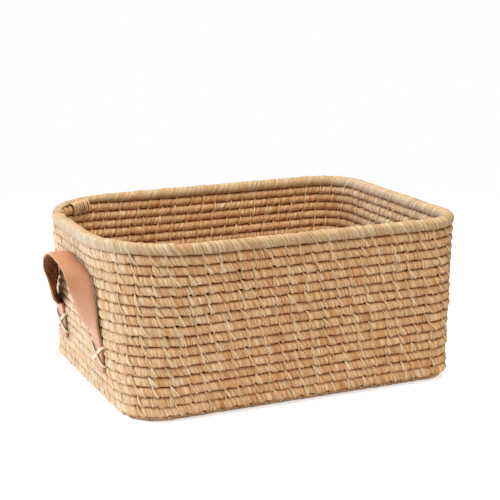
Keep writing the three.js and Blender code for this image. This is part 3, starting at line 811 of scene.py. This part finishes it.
def rim_path():
    """The rim's frames. It thins to a tip on the climbing end of the last row."""
    turn = np.linspace(RIM_FIRST_STEP, RIM_LAST_STEP, int(LOOP_STEPS * SAMPLES_A_STEP))
    climb = climb_share(turn)
    start = smoothstep(turn / RIM_START_STEPS + 1.0)
    below = lerp(ROW_PITCH - ROW_GAP, RIM_HEIGHT - ROW_GAP, climb) / 2
    low = row_height(WALL_ROWS - 1 + climb) + below
    high = lerp(BASKET_HEIGHT, BASKET_HEIGHT + RIM_TOP_RISE, smoothstep(climb * RIM_RISE_SPEED))
    half = np.maximum((high - low) / 2, LEAST_RIM_HALF)
    centre, _ = outline_point(wall_outline(RIM_Z + 0 * turn), turn % LOOP_STEPS)
    centre[:, 2] = (low + high) / 2
    place = lengths(centre)
    along = unit(np.gradient(centre, place, axis=0))
    across = np.broadcast_to(np.array([0.0, 0.0, 1.0]), centre.shape)
    across = unit(across - along * (across * along).sum(1, keepdims=True))
    wobble = 1 + RIM_UNEVENNESS * wander(rng, place, RIM_SPACING)
    thinned = (1 - RIM_END_THINNING * climb) * lerp(RIM_START_THICKNESS, 1.0, start)
    return {
        "turn": turn, "place": place, "centre": centre, "along": along, "across": across,
        "normal": np.cross(along, across), "half_across": half * lerp(RIM_START_HEIGHT, 1.0, start),
        "half_normal": RIM_THICKNESS / 2 * thinned * wobble, "open_top": np.ones_like(turn),
    }


# Binding wraps: where they start, and how deep they lie from the rim's middle at each height
BIND_X, BIND_PITCH, BIND_WRAPS, BIND_SLANT = -134.0, 3.4, 9, 5.0
BIND_TOP, BIND_FOOT, BIND_STRAY, BIND_FOOT_STRAY = 5.2, -10.0, 0.35, 0.7
BIND_HEIGHTS = [BIND_FOOT, -9.0, -6.2, -3.0, 0.0, 3.5, BIND_TOP]
BIND_DEPTHS = [4.0, 6.1, 6.4, 7.0, 7.2, 5.9, 2.5]
BIND_WIDTHS, BIND_TAPER, BIND_TINTS = (1.8, 2.3), (1.4, 0.8), (0.8, 1.3)
# Thickness of the wraps, and the painted shade on their edges and undersides
BIND_THICKNESS, BIND_EDGE_SHADE = 1.1, 0.9


def binding_wraps(rng, path):
    """The wraps that hold the coil's end down, over the inside of the rim and the row below."""
    past = (path["turn"] > 3 * QUARTER_STEPS) & (path["centre"][:, 0] < BIND_X)
    place = path["place"][np.flatnonzero(past)[0]] + BIND_PITCH * np.arange(BIND_WRAPS)
    place = place + rng.normal(0.0, BIND_STRAY, BIND_WRAPS)
    t = np.linspace(0.0, 1.0, STATION_COUNT)
    stray = rng.normal(0.0, BIND_FOOT_STRAY, (BIND_WRAPS, 1))
    offset = lerp(BIND_TOP, BIND_FOOT, t) + stray * t
    depth = np.interp(offset, BIND_HEIGHTS, BIND_DEPTHS)
    centre, _, across, normal = frames(path, place[:, None] + BIND_SLANT * (1 - t))
    centre[..., 2] = RIM_Z
    centre = centre + across * offset[..., None] - normal * depth[..., None]
    side = unit(np.cross(-normal, unit(np.gradient(centre, axis=1))))
    width = rng.uniform(*BIND_WIDTHS, (BIND_WRAPS, 1)) * lerp(*BIND_TAPER, t)
    tint = rng.uniform(*BIND_TINTS, BIND_WRAPS)
    return centre, side, -normal, width, BIND_THICKNESS, tint, 0, BIND_EDGE_SHADE


rim = rim_path()
rim_strips = wind_strips(rng, rim["place"][-1], RIM_STRIP_WIDTH)
rim_strips["lean"] = rim_strips["lean"] * RIM_LEAN
rim_strips["tint"] = lerp(RIM_TINT, rim_strips["tint"], RIM_TINT_SHARE)
rim_piece, binding = Gathered(), Gathered()
add_coil(rim_piece, rim, coil_lines(rim_strips, 0, len(rim_strips["start"])), RIM_SIDES)
add_ribbons(binding, *binding_wraps(rng, rim))
rim_piece = rim_piece.make("rim", [RIM_RAFFIA])
for made in (rim_piece, binding.make("rim_binding", [RAFFIA])):
    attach(made, "basket")
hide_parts("rim_coil")

# Handles: a strap with its two flat ends in one length of leather, lashed through the wall
STRAP_WIDTH, STRAP_TOP_WIDTH, STRAP_THICKNESS = 26.0, 21.0, 2.8
STRAP_RISE, STRAP_TOP_CLEARANCE, STRAP_TOP_TWIST = 76.2, 3.5, math.radians(96.5)
STRAP_TOP_LEAN = 15.4
LASHING_PAST_CORNER, TAB_LENGTH, TAB_CORNER = 4.4, 32.5, 5.0
LASHING_WIDTH, FIT_GAP, HOLE_CLEARANCE = 4.0, 0.3, 0.4
ROWS_UNDER_LASHING, ROWS_IN_LASHING, HINGE_ABOVE_LASHING = 4, 2, 6.0
LOW_GROOVE_Z = row_height(ROWS_UNDER_LASHING) - ROW_PITCH / 2
HIGH_GROOVE_Z = LOW_GROOVE_Z + ROWS_IN_LASHING * ROW_PITCH
HINGE_Z = HIGH_GROOVE_Z + HINGE_ABOVE_LASHING
WALL_LEAN = math.atan((RIM_HALF_LENGTH - GROUND_HALF_LENGTH) / BASKET_HEIGHT)
HINGE_WALL_X = wall_outline(HINGE_Z)[0] + ROW_THICKNESS / 2
LEG_Y = STRAP_WIDTH / 2 + HOLE_CLEARANCE + LASHING_WIDTH / 2
LASHED = wall_outline(HIGH_GROOVE_Z)
STRAP_HALF_SPAN = LASHED[1] - LASHED[2] + LASHING_PAST_CORNER - LEG_Y - LASHING_WIDTH / 2
STRAP_STAND_OFF = FIT_GAP + STRAP_THICKNESS / 2
TOP_STAND_OFF = STRAP_TOP_CLEARANCE + STRAP_TOP_WIDTH / 2 * math.sin(STRAP_TOP_TWIST)
# Half of the strap from its flat end to the top: span, rise, stand-off, twist and lean
STRAP_SHARES = np.array([
    (1.0, 0.0, 0.0, 0.0, 0.0),
    (1.0, 0.12, 0.15, 0.04, 0.0),
    (0.965, 0.228, 0.39, 0.19, 0.15),
    (0.895, 0.401, 0.568, 0.35, 0.48),
    (0.85, 0.628, 0.74, 0.504, 0.63),
    (0.71, 0.796, 0.825, 0.737, 0.8),
    (0.466, 0.908, 0.88, 0.96, 0.91),
    (0.0, 1.0, 1.0, 1.0, 1.0),
])

HALF_TURN = np.array([-1.0, -1.0, 1.0])


def to_basket(points, turned):
    """From the handle's own axes, where X points into the wall, to the basket's."""
    c, s = math.cos(WALL_LEAN), math.sin(WALL_LEAN)
    x, y, z = points[..., 0], points[..., 1], points[..., 2]
    placed = np.stack([x * c - z * s - HINGE_WALL_X, y, x * s + z * c + HINGE_Z], -1)
    return placed * HALF_TURN if turned else placed


CURVE_STEPS = 24


def smooth_line(points, count):
    """A Catmull-Rom curve through the points, at even steps of length."""
    padded = np.concatenate([points[:1] * 2 - points[1:2], points, points[-1:] * 2 - points[-2:-1]])
    found = []
    for a, b, c, d in zip(padded, padded[1:], padded[2:], padded[3:]):
        t = np.linspace(0.0, 1.0, CURVE_STEPS, endpoint=False)[:, None]
        found.append(0.5 * (2 * b + (c - a) * t + (2 * a - 5 * b + 4 * c - d) * t**2
                            + (3 * b - a - 3 * c + d) * t**3))
    found = np.concatenate([*found, points[-1:]])
    length = lengths(found[:, :3])
    even = np.linspace(0.0, length[-1], count)
    return np.stack([np.interp(even, length, found[:, k]) for k in range(found.shape[1])], -1)


# Round the leather's section, from one cut edge to the other: share across, share of thickness,
# inset from the edge
STRAP_RING = np.array([
    (-1, 0.35, 0.0), (-1, 0.75, 0.25), (-1, 1.0, 0.7), (-0.6, 1.0, 0.7), (-0.2, 1.0, 0.7),
    (0.2, 1.0, 0.7), (0.6, 1.0, 0.7), (1, 1.0, 0.7), (1, 0.75, 0.25), (1, 0.35, 0.0),
    (1, -0.35, 0.0), (1, -0.8, 0.2), (1, -1.0, 0.6), (0.5, -1.0, 0.6), (0.0, -1.0, 0.6),
    (-0.5, -1.0, 0.6), (-1, -1.0, 0.6), (-1, -0.8, 0.2), (-1, -0.35, 0.0),
])
GRAIN_COLUMNS, SUEDE_COLUMNS = (1, 8), (11, 17)
STRAP_STATIONS, LEAST_HALF_WIDTH, STRAP_CUP = 150, 0.05, 0.35
WIDTH_WANDER, WIDTH_SPACING, STRAP_STRAY, STRAP_SPACING = 0.012, 12.0, 0.25, 22.0
STRAP_CAP_FIBRE, STRAP_SEAM_FIBRE, STRAP_BAKE_MARGIN = 1.0, 2.0, 0.005


def make_strap(name, turned, rng):
    span, rise, stand_off, twist, lean = STRAP_SHARES.T
    x = -STRAP_STAND_OFF - stand_off * (TOP_STAND_OFF - STRAP_STAND_OFF)
    front, back = [np.stack([x, side * span * STRAP_HALF_SPAN - lean * STRAP_TOP_LEAN,
                             rise * STRAP_RISE, twist], -1) for side in (-1, 1)]
    tab_end = -(STRAP_STAND_OFF + TAB_LENGTH)
    tab = np.array([(-STRAP_STAND_OFF, -STRAP_HALF_SPAN, z, 0.0) for z in (tab_end, tab_end / 2)])
    far_tab = tab[::-1] * np.array([1.0, -1.0, 1.0, 1.0])
    line = smooth_line(np.concatenate([tab, front, back[-2::-1], far_tab]), STRAP_STATIONS)
    centre, twist = line[:, :3], np.clip(line[:, 3], 0.0, 1.0)
    tangent = unit(np.gradient(centre, axis=0))
    away = unit(np.array([-1.0, 0.0, 0.0]) + tangent * tangent[:, :1])
    arch_out = np.cross(tangent, away)
    angle = (twist * STRAP_TOP_TWIST)[:, None]
    grain = away * np.cos(angle) + arch_out * np.sin(angle)
    across = away * np.sin(angle) - arch_out * np.cos(angle)
    length = lengths(centre)
    short_of_corner = np.maximum(TAB_CORNER - np.minimum(length, length[-1] - length), 0.0)
    round_off = TAB_CORNER - np.sqrt(np.maximum(TAB_CORNER**2 - short_of_corner**2, 0))
    half_width = lerp(STRAP_WIDTH, STRAP_TOP_WIDTH, twist) / 2 - round_off
    half_width = half_width * (1 + WIDTH_WANDER * wander(rng, length, WIDTH_SPACING))
    centre = centre + grain * (STRAP_STRAY * wander(rng, length, STRAP_SPACING))[:, None]
    share, thick, edge = STRAP_RING.T
    wide = share * np.maximum(half_width[:, None] - edge, LEAST_HALF_WIDTH)
    high = thick * STRAP_THICKNESS / 2 + STRAP_CUP * twist[:, None] * (1 - share**2)
    points = centre[:, None] + across[:, None] * wide[..., None] + grain[:, None] * high[..., None]
    points = capped(points)
    faces, row, column = grid_faces(len(points), len(STRAP_RING))
    across_strap = column[:, 0]
    on_grain, on_suede = [(across_strap >= first) & (across_strap < last)
                          for first, last in (GRAIN_COLUMNS, SUEDE_COLUMNS)]
    girth = lengths(points[len(points) // 2 - 1])
    girth = np.r_[girth, girth[-1] + STRAP_SEAM_FIBRE]
    place = np.r_[length[0] - STRAP_CAP_FIBRE, length, length[-1] + STRAP_CAP_FIBRE]
    bake = np.stack([inset(column / len(STRAP_RING), STRAP_BAKE_MARGIN),
                     inset(row / len(points), STRAP_BAKE_MARGIN)], -1)
    gathered = Gathered()
    gathered.add(to_basket(points, turned), faces, np.zeros(points.shape),
                 np.stack([girth[column], place[row]], -1), bake,
                 np.select([on_grain, on_suede], [0, 1], 2))
    return gathered.make(name, [LEATHER, SUEDE, CUT_EDGE])


# Strands side by side: how many points each has, how much they close up at the ends, and how much
# they stray, rise and vary
STRAND_POINTS, CLOSE_SHARE, CLOSE_POWER = 19, 0.45, 4
STRAND_STRAY, STRAY_SPACING, STRAND_RISE, RISE_SPACING = 0.35, 6.0, 0.25, 5.0
STRAND_WIDTH_RANGE, STRAND_TINT_RANGE, STRAND_THICKNESS = (0.85, 1.3), (0.75, 1.0), 0.42


def bundle(gathered, points, outward, count, gap, rng, turned, width, cell):
    """Raffia strands side by side along a curve."""
    line = smooth_line(np.array(points, float), STRAND_POINTS)
    tangent = unit(np.gradient(line, axis=0))
    side = unit(np.cross(np.broadcast_to(np.array(outward, float), line.shape), tangent))
    normal = np.cross(tangent, side)
    number = np.arange(count) - (count - 1) / 2
    close = 1 - CLOSE_SHARE * np.linspace(-1.0, 1.0, STRAND_POINTS) ** CLOSE_POWER
    at = np.arange(STRAND_POINTS)
    stray = np.array([wander(rng, at, STRAY_SPACING) for _ in range(count)])
    rise = np.array([wander(rng, at, RISE_SPACING) for _ in range(count)])
    aside = number[:, None] * gap * close + STRAND_STRAY * stray
    centre = line + side * aside[..., None] + normal * (STRAND_RISE * rise)[..., None]
    widths = width * rng.uniform(*STRAND_WIDTH_RANGE, (count, 1))
    tint = rng.uniform(*STRAND_TINT_RANGE, count)
    origin = to_basket(np.zeros(3), turned)
    add_ribbons(gathered, to_basket(centre, turned), to_basket(side, turned) - origin,
                to_basket(normal, turned) - origin, widths, STRAND_THICKNESS, tint, cell=cell)


# A lashing's cross outside and its upright bundles inside: strands, gap, width, clearance and the
# points of a curve. CROSS_HALF has what a point is measured from (the wall, the leather or the
# middle), its distance, its share of the legs' spread and its share of the height
CROSS_STRANDS, CROSS_GAP, CROSS_WIDTH, CROSS_CLEARANCE = 2, 1.7, 2.4, 0.35
SECOND_RAISE, CROSS_CREST = 0.75, 0.45
CROSS_HALF = [(0, 3.0, 1.02, 1.0), (0, -0.6, 1.0, 1.0), (1, 0.3, 0.9, 0.9), (2, -0.2, 0.45, 0.45)]
UPRIGHT_STRANDS, UPRIGHT_GAP, UPRIGHT_WIDTH, UPRIGHT_CLEARANCE = 3, 1.6, 2.1, 1.1
UPRIGHT_CURVE = [(-4.0, 1.0), (-0.2, 0.95), (0.6, 0.5), (0.7, 0.0),
                 (0.6, -0.5), (-0.2, -0.95), (-4.0, -1.0)]
CELL_STEP, CELL_HEIGHT = 0.25, 0.24


def make_lashing(name, turned, y, rng):
    low, high = ((z - HINGE_Z) / math.cos(WALL_LEAN) for z in (LOW_GROOVE_Z, HIGH_GROOVE_Z))
    middle = (low + high) / 2
    over = -(STRAP_STAND_OFF + STRAP_THICKNESS / 2 + CROSS_CLEARANCE)
    cells = [(CELL_STEP * k, CELL_STEP * k + CELL_HEIGHT) for k in range(4)]
    gathered = Gathered()
    for number, tilt in enumerate((-1, 1)):
        raised = over - SECOND_RAISE * number
        z = (high - middle) * tilt
        half = [((0.0, over, raised)[base] + x, across, rise) for base, x, across, rise in CROSS_HALF]
        points = [(x, y + across * LEG_Y, middle + rise * z) for x, across, rise in half]
        points.append((raised - CROSS_CREST, y, middle))
        points += [(x, y - across * LEG_Y, middle - rise * z) for x, across, rise in reversed(half)]
        bundle(gathered, points, (-1, 0, 0), CROSS_STRANDS, CROSS_GAP, rng, turned, CROSS_WIDTH,
               cells[number])
    inside = ROW_THICKNESS + UPRIGHT_CLEARANCE
    for number, side in enumerate((1, -1)):
        points = [(inside + x, y + side * LEG_Y, middle + share * (high - middle))
                  for x, share in UPRIGHT_CURVE]
        bundle(gathered, points, (1, 0, 0), UPRIGHT_STRANDS, UPRIGHT_GAP, rng, turned, UPRIGHT_WIDTH,
               cells[2 + number])
    return gathered.make(name, [LASHING])


# Leather: noise scale and reach of its blotches, and how much its grain shows
BLOTCH_SCALE, BLOTCH_RANGE, GRAIN_MIDDLE, GRAIN_SHARE = 28.0, (0.38, 0.66), 0.52, 0.7
LEATHER_DETAIL, BLOTCH_ROUGHNESS, GRAIN_ROUGHNESS = 4.0, 0.6, 0.65
ROUGH_SPREAD, LEATHER_SPECULAR, LEATHER_BUMP = 0.06, 0.4, 0.35


def leather_material(name, colour, dark, rough, grain_scale, grain_depth, blotch, speckle=0.1):
    """blotch is how far the dark colour goes, and a low speckle gives the grain hard edges."""
    n = Nodes(bpy.data.materials.new(name))
    place = n.node("ShaderNodeTexCoord").outputs["Object"]
    blotches = n.noise(place, BLOTCH_SCALE, LEATHER_DETAIL, BLOTCH_ROUGHNESS)
    grain = n.noise(place, grain_scale, LEATHER_DETAIL, GRAIN_ROUGHNESS)
    colour = n.mix(n.spread(blotches, *BLOTCH_RANGE, 0.0, blotch), linear(colour), linear(dark))
    grainy = n.spread(grain, GRAIN_MIDDLE - speckle, GRAIN_MIDDLE + speckle, 0.0, blotch * GRAIN_SHARE)
    n.put(n.shader.inputs["Base Color"], n.mix(grainy, colour, linear(dark)))
    rough = n.spread(grain, *NOISE_RANGE, rough - ROUGH_SPREAD, rough + ROUGH_SPREAD)
    n.put(n.shader.inputs["Roughness"], rough)
    n.shader.inputs["Specular IOR Level"].default_value = LEATHER_SPECULAR
    n.put(n.shader.inputs["Normal"], n.bump(grain, LEATHER_BUMP, grain_depth))
    return n.owner


LEATHER = leather_material("leather", (180, 126, 92), (152, 98, 66), rough=0.55, grain_scale=600.0,
                           grain_depth=0.00015, blotch=0.45)
SUEDE = leather_material("suede", (166, 98, 56), (54, 24, 8), rough=0.95, grain_scale=420.0,
                         grain_depth=0.0008, blotch=1.2, speckle=0.05)
CUT_EDGE = leather_material("cut_edge", (180, 140, 100), (130, 90, 56), rough=0.85,
                            grain_scale=1200.0, grain_depth=0.0004, blotch=0.6)
LASHING = raffia_material("lashing_raffia", (182, 146, 104), (200, 170, 130), (216, 192, 156),
                          (160, 112, 68), (108, 66, 30))

# Each side's strap and the lashings at its front and back, in place of the CAD parts
for side, turned in (("left", False), ("right", True)):
    strap = make_strap(f"leather_strap_{side}", turned, rng)
    names = [f"strap_{side}", f"strap_end_{side}_front", f"strap_end_{side}_back"]
    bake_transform(strap)
    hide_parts(*names)
    for place, local in (("front", -1), ("back", 1)):
        y = STRAP_HALF_SPAN * local * (-1 if turned else 1)
        lashing = make_lashing(f"raffia_lashing_{side}_{place}", turned, y, rng)
        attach(lashing, "basket")
        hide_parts(f"lashing_{side}_{place}")

# Floor: pale and lit, a little brighter where the camera sees it, and plain white far from the basket
FLOOR_SIZE, FLOOR_COLOUR, FLOOR_ROUGHNESS, FLOOR_GLOW = 8.0, (0.86, 0.86, 0.86, 1.0), 0.9, 0.57
WHITE, WHITE_FROM, WHITE_BEYOND = (1.0, 1.0, 1.0, 1.0), 0.6, 1.1
n = Nodes(bpy.data.materials.new("floor"))
n.shader.inputs["Base Color"].default_value = FLOOR_COLOUR
n.shader.inputs["Roughness"].default_value = FLOOR_ROUGHNESS
rays = n.node("ShaderNodeLightPath").outputs
seen = n.math("MAXIMUM", rays["Is Camera Ray"], rays["Is Glossy Ray"])
seen = n.math("MAXIMUM", seen, rays["Is Transmission Ray"])
glow = n.node("ShaderNodeEmission", {"Color": WHITE, "Strength": n.math("MULTIPLY", seen, FLOOR_GLOW)})
both = n.node("ShaderNodeAddShader", {0: n.shader.outputs[0], 1: glow.outputs[0]})
white = n.node("ShaderNodeEmission", {"Color": WHITE, "Strength": seen})
middle = n.node("ShaderNodeTexCoord").outputs["Object"]
distance = n.node("ShaderNodeVectorMath", {0: middle}, operation="LENGTH").outputs["Value"]
far = n.spread(distance, WHITE_FROM, WHITE_BEYOND)
backdrop = n.node("ShaderNodeMixShader", {0: far, 1: both.outputs[0], 2: white.outputs[0]})
n.put(n.tree.nodes["Material Output"].inputs["Surface"], backdrop.outputs[0])

bpy.ops.mesh.primitive_plane_add(size=FLOOR_SIZE, location=(0.0, 0.0, 0.0))
floor = bpy.context.object
floor.name = "floor"
floor.data.materials.append(n.owner)
floor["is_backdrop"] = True

# World: a warm dim light on the basket, and white where the camera sees it
WORLD_LEVEL, WORLD_TONE = 0.36, (1.0, 0.85, 0.68, 1.0)
world = bpy.data.worlds.new("studio")
bpy.context.scene.world = world
n = Nodes(world, "Background")
seen = n.node("ShaderNodeLightPath").outputs["Is Camera Ray"]
n.put(n.shader.inputs["Color"], n.mix(seen, WORLD_TONE, WHITE))
n.put(n.shader.inputs["Strength"], n.spread(seen, 0.0, 1.0, WORLD_LEVEL))

def turned_to(target, place):
    return (Vector(target) - Vector(place)).to_track_quat("-Z", "Y")


# Lamps: place and size in metres, watts and colour, all turned to the middle of the basket
LAMP_TARGET = (0.0, 0.0, 0.1)
LAMPS = [
    ("key", (-1.85, 0.75, 0.88), (0.9, 0.9), 45.0, (0.5, 0.73, 1.0)),
    ("side", (-1.5, 0.5, 0.3), (1.0, 0.55), 20.0, (0.7, 0.79, 1.0)),
    ("fill", (-0.3, -2.0, 1.4), (1.2, 1.2), 12.8, (1.0, 0.97, 0.93)),
    ("top", (0.1, -0.3, 1.5), (0.8, 0.8), 26.0, (1.0, 0.94, 0.84)),
]
for name, place, size, power, colour in LAMPS:
    light = bpy.data.lights.new(name, "AREA")
    light.shape = "RECTANGLE"
    light.size, light.size_y = size
    light.energy, light.color = power, colour
    made = bpy.data.objects.new(name, light)
    bpy.context.scene.collection.objects.link(made)
    made.location = place
    made.rotation_euler = turned_to(LAMP_TARGET, place).to_euler()

# Camera: place and aim in metres, roll in degrees, sensor and lens in millimetres
CAMERA_PLACE, CAMERA_AIM, CAMERA_ROLL = (-0.529, -1.212, 0.4392), (0.00686, 0.00043, 0.12475), -0.3
SENSOR_WIDTH, LENS_LENGTH = 36.0, 92.58
camera = bpy.data.cameras.new("camera")
camera.sensor_width, camera.lens = SENSOR_WIDTH, LENS_LENGTH
camera_object = bpy.data.objects.new("camera", camera)
bpy.context.scene.collection.objects.link(camera_object)
camera_object.location = CAMERA_PLACE
roll = Quaternion((0.0, 0.0, 1.0), math.radians(CAMERA_ROLL))
camera_object.rotation_euler = (turned_to(CAMERA_AIM, CAMERA_PLACE) @ roll).to_euler()
bpy.context.scene.camera = camera_object
bpy.context.scene.view_settings.view_transform = "Standard"

low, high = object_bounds()
